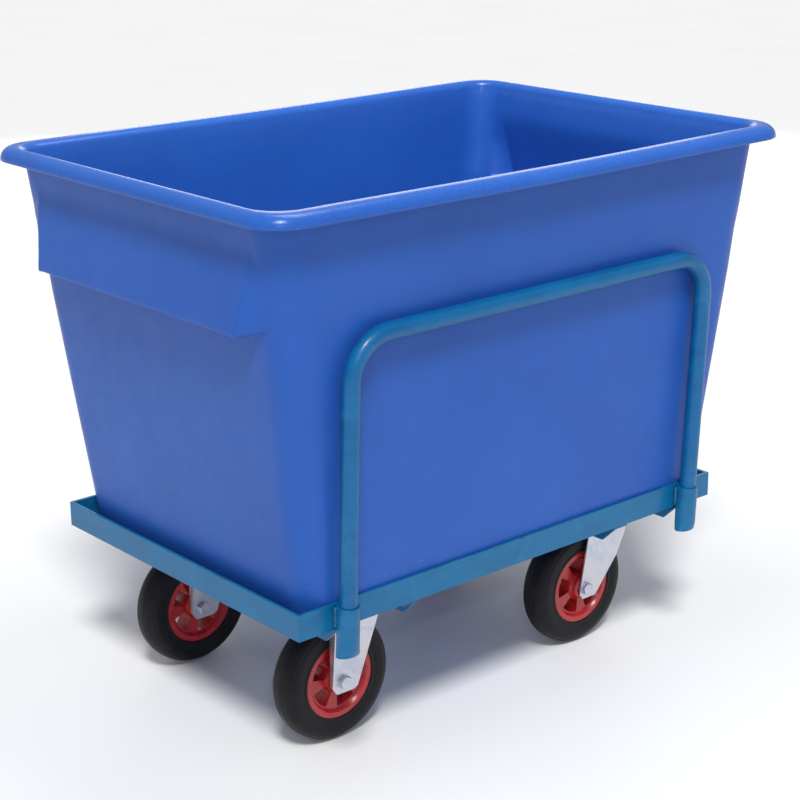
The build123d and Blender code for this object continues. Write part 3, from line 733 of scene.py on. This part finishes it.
# Casters
tyre_profile = (
    (0.0222, 0.0621),
    (0.0238, 0.0628),
    (0.0240, 0.0640),
    (0.0240, 0.0662),
    (0.0234, 0.0672),
    (0.0233, 0.0682),
    (0.0240, 0.0705),
    (0.0247, 0.0745),
    (0.0250, 0.0795),
    (0.0248, 0.0838),
    (0.0243, 0.0866),
    (0.0236, 0.0872),
    (0.0234, 0.0880),
    (0.0226, 0.0904),
    (0.0212, 0.0928),
    (0.0200, 0.0939),
    (0.0192, 0.0941),
    (0.0188, 0.0948),
    (0.0166, 0.0963),
    (0.0130, 0.0982),
    (0.0094, 0.0993),
    (0.0080, 0.0996),
    (0.0075, 0.0991),
    (0.0068, 0.0991),
    (0.0063, 0.0998),
    (0.0030, 0.10),
    (0.0, 0.10),
)


def tyre(caster):
    """Spin the tyre's section round its axle."""
    low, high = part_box(caster + "_tyre")
    middle = (low + high) / 2
    outline = [(y, r) for y, r in tyre_profile] + [(-y, r) for y, r in reversed(tyre_profile[:-1])]
    bm = bmesh.new()
    points = [bm.verts.new(middle + Vector((0, y, r))) for y, r in outline]
    edges = [bm.edges.new(pair) for pair in zip(points, points[1:] + points[:1])]
    bmesh.ops.spin(
        bm, geom=points + edges, cent=middle, axis=(0, 1, 0), angle=2 * math.pi, steps=96, use_merge=True
    )
    bmesh.ops.remove_doubles(bm, verts=bm.verts, dist=1e-6)
    bmesh.ops.recalc_face_normals(bm, faces=bm.faces)
    return finished_piece(
        caster + "_rubber_tyre", bm, caster + "_wheel", "tyre_rubber", [caster + "_tyre"]
    )


for caster in casters:
    tyre(caster)
    softened(caster + "_red_centre", [caster + "_wheel_centre"], "centre_plastic", 0.0009, angle=40)
    softened(caster + "_pressed_fork", [caster + "_fork"], "zinc_steel", 0.0005)
    softened(caster + "_mounting_plate", [caster + "_top_plate"], "zinc_steel", 0.0006)
    softened(caster + "_hex_bolts", [caster + "_plate_bolts"], "zinc_steel", 0.0003)
    softened(caster + "_axle_hex_bolt", [caster + "_axle_bolt"], "zinc_steel", 0.0004)
    softened(caster + "_axle_hex_nut", [caster + "_axle_nut"], "zinc_steel", 0.0005)

for subpart in frame["record"]["subparts"]:
    node = nodes[subpart["node"]]
    finish = finishes[subpart["material_slot"]]
    if not node.data.materials:
        node.data.materials.append(finish)
    for slot in node.material_slots:
        slot.material = finish


# Studio
def studio():
    """A pale floor, soft boxes and the camera at the photograph's angle."""
    bm = bmesh.new()
    bmesh.ops.create_grid(bm, x_segments=4, y_segments=4, size=60)
    mesh = bpy.data.meshes.new("studio_floor")
    bm.to_mesh(mesh)
    bm.free()
    mesh.materials.append(studio_floor())
    floor = bpy.data.objects.new("studio_floor", mesh)
    bpy.context.scene.collection.objects.link(floor)
    world = bpy.data.worlds.new("studio")
    world.use_nodes = True
    background = world.node_tree.nodes["Background"]
    background.inputs["Color"].default_value = (0.97, 0.98, 1.0, 1)
    background.inputs["Strength"].default_value = 0.42
    bpy.context.scene.world = world
    sun = bpy.data.lights.new("main", "SUN")
    sun.energy = 2.5
    sun.angle = math.radians(14)
    boxes = [
        ("back", (3.2, 3.7, 0.9), 2.6, 40.0),
        ("catch", (-2.3, -3.0, 2.2), 0.12, 9.0),
        ("inside", (0.0, -0.1, 1.9), 0.7, 9.0),
    ]
    for name, place, size, power in boxes:
        light = bpy.data.lights.new(name, "AREA")
        light.size = size
        light.energy = power
        boxes[boxes.index((name, place, size, power))] = (light, place)
    for light, place in boxes + [(sun, (-1.6, -2.1, 4.4))]:
        lamp = bpy.data.objects.new(light.name, light)
        lamp.location = place
        aim = Vector((0, 0, 0.5)) - Vector(place)
        lamp.rotation_euler = aim.to_track_quat("-Z", "Y").to_euler()
        bpy.context.scene.collection.objects.link(lamp)
    lens = bpy.data.cameras.new("camera")
    lens.lens = 85.49
    lens.sensor_width = 36.0
    lens.clip_end = 300.0
    camera = bpy.data.objects.new("camera", lens)
    turn = Matrix.Rotation(math.radians(-40.76), 4, "Z")
    tilt = Matrix.Rotation(math.radians(90 - 17.962), 4, "X")
    roll = Matrix.Rotation(math.radians(-0.449), 4, "Z")
    camera.matrix_world = Matrix.Translation((-1.9167, -2.226, 1.3814)) @ turn @ tilt @ roll
    bpy.context.scene.collection.objects.link(camera)
    bpy.context.scene.camera = camera
    bpy.context.scene.view_settings.view_transform = "Standard"


studio()
